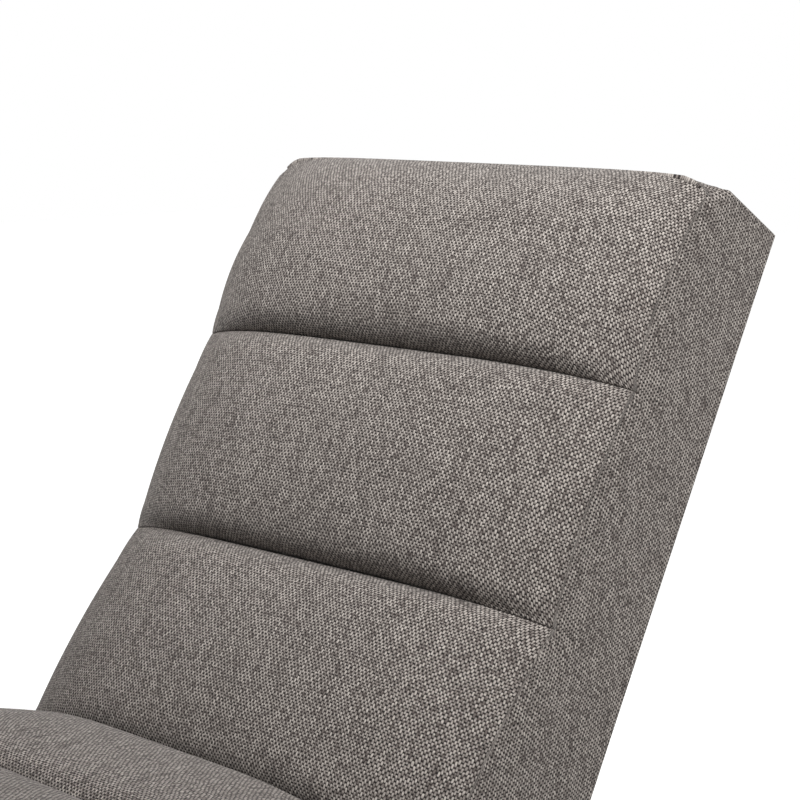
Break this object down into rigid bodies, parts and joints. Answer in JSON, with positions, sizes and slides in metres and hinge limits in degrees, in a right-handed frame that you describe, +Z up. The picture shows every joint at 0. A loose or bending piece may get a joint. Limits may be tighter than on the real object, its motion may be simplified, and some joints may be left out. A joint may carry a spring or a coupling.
{
  "type": "chaise longue",
  "caption": "Fixed S-shaped chaise longue with broad sewn cross channels, woven upholstery, a raked back and a rising seat on two chromed tube legs with levelling feet.",
  "frame": {"origin": "on the floor below the middle of the overall box", "axes": "+Z up, +X to the sitter's left, +Y from the foot end to the head end"},
  "size_m": [0.55, 1.478, 0.8321],
  "materials": {
    "upholstery": "coarse grey-taupe basket weave with light slubs",
    "dust_cloth": "black non-woven dust cloth",
    "foam": "open-cell foam slab",
    "webbing": "woven elastic webbing",
    "plywood": "sawn birch plywood",
    "pine": "planed pine",
    "chrome_steel": "polished chrome plate on rectangular steel tube",
    "zinc_steel": "bright zinc plate",
    "foot_plastic": "moulded black nylon"
  },
  "bodies": {
    "chaise": {"back_channel_top": "upholstery", "back_channel_middle": "upholstery", "back_channel_lower": "upholstery", "seat_channel_rear": "upholstery", "seat_channel_middle": "upholstery", "seat_channel_front": "upholstery", "leg_channel_upper": "upholstery", "leg_channel_middle": "upholstery", "leg_channel_foot": "upholstery", "side_cover_left": "upholstery", "side_cover_right": "upholstery", "back_cover": "upholstery", "head_end_cover": "upholstery", "foot_end_cover": "upholstery", "bottom_cover": "dust_cloth", "back_foam": "foam", "seat_foam": "foam", "leg_foam": "foam", "back_webbing": "webbing", "seat_webbing": "webbing", "leg_webbing": "webbing", "back_board_left": "plywood", "back_board_right": "plywood", "seat_board_left": "plywood", "seat_board_right": "plywood", "hip_gusset_left": "plywood", "hip_gusset_right": "plywood", "head_rail": "pine", "mid_back_rail": "pine", "low_back_rail": "pine", "seat_rail": "pine", "knee_rail": "pine", "foot_rail": "pine", "rear_leg_plank": "pine", "front_leg_plank": "pine", "frame_screws": "zinc_steel", "tee_nuts": "zinc_steel", "leg_washers": "zinc_steel", "leg_bolts": "zinc_steel", "stud_inserts": "zinc_steel", "rear_leg_plate_left": "chrome_steel", "rear_leg_plate_right": "chrome_steel", "rear_leg_upright_left": "chrome_steel", "rear_leg_upright_right": "chrome_steel", "rear_leg_floor_bar": "chrome_steel", "front_leg_plate_left": "chrome_steel", "front_leg_plate_right": "chrome_steel", "front_leg_upright_left": "chrome_steel", "front_leg_upright_right": "chrome_steel", "front_leg_floor_bar": "chrome_steel"},
    "foot_rear_left": {"foot_pad_rear_left": "foot_plastic", "foot_stud_rear_left": "zinc_steel"},
    "foot_rear_right": {"foot_pad_rear_right": "foot_plastic", "foot_stud_rear_right": "zinc_steel"},
    "foot_front_left": {"foot_pad_front_left": "foot_plastic", "foot_stud_front_left": "zinc_steel"},
    "foot_front_right": {"foot_pad_front_right": "foot_plastic", "foot_stud_front_right": "zinc_steel"}
  },
  "joints": [
    {"name": "level_rear_left", "type": "slide", "parent": "chaise", "child": "foot_rear_left", "axis": [0, 0, -1], "range_m": [0, 0.01]},
    {"name": "level_rear_right", "type": "slide", "parent": "chaise", "child": "foot_rear_right", "axis": [0, 0, -1], "range_m": [0, 0.01]},
    {"name": "level_front_left", "type": "slide", "parent": "chaise", "child": "foot_front_left", "axis": [0, 0, -1], "range_m": [0, 0.01]},
    {"name": "level_front_right", "type": "slide", "parent": "chaise", "child": "foot_front_right", "axis": [0, 0, -1], "range_m": [0, 0.01]}
  ]
}
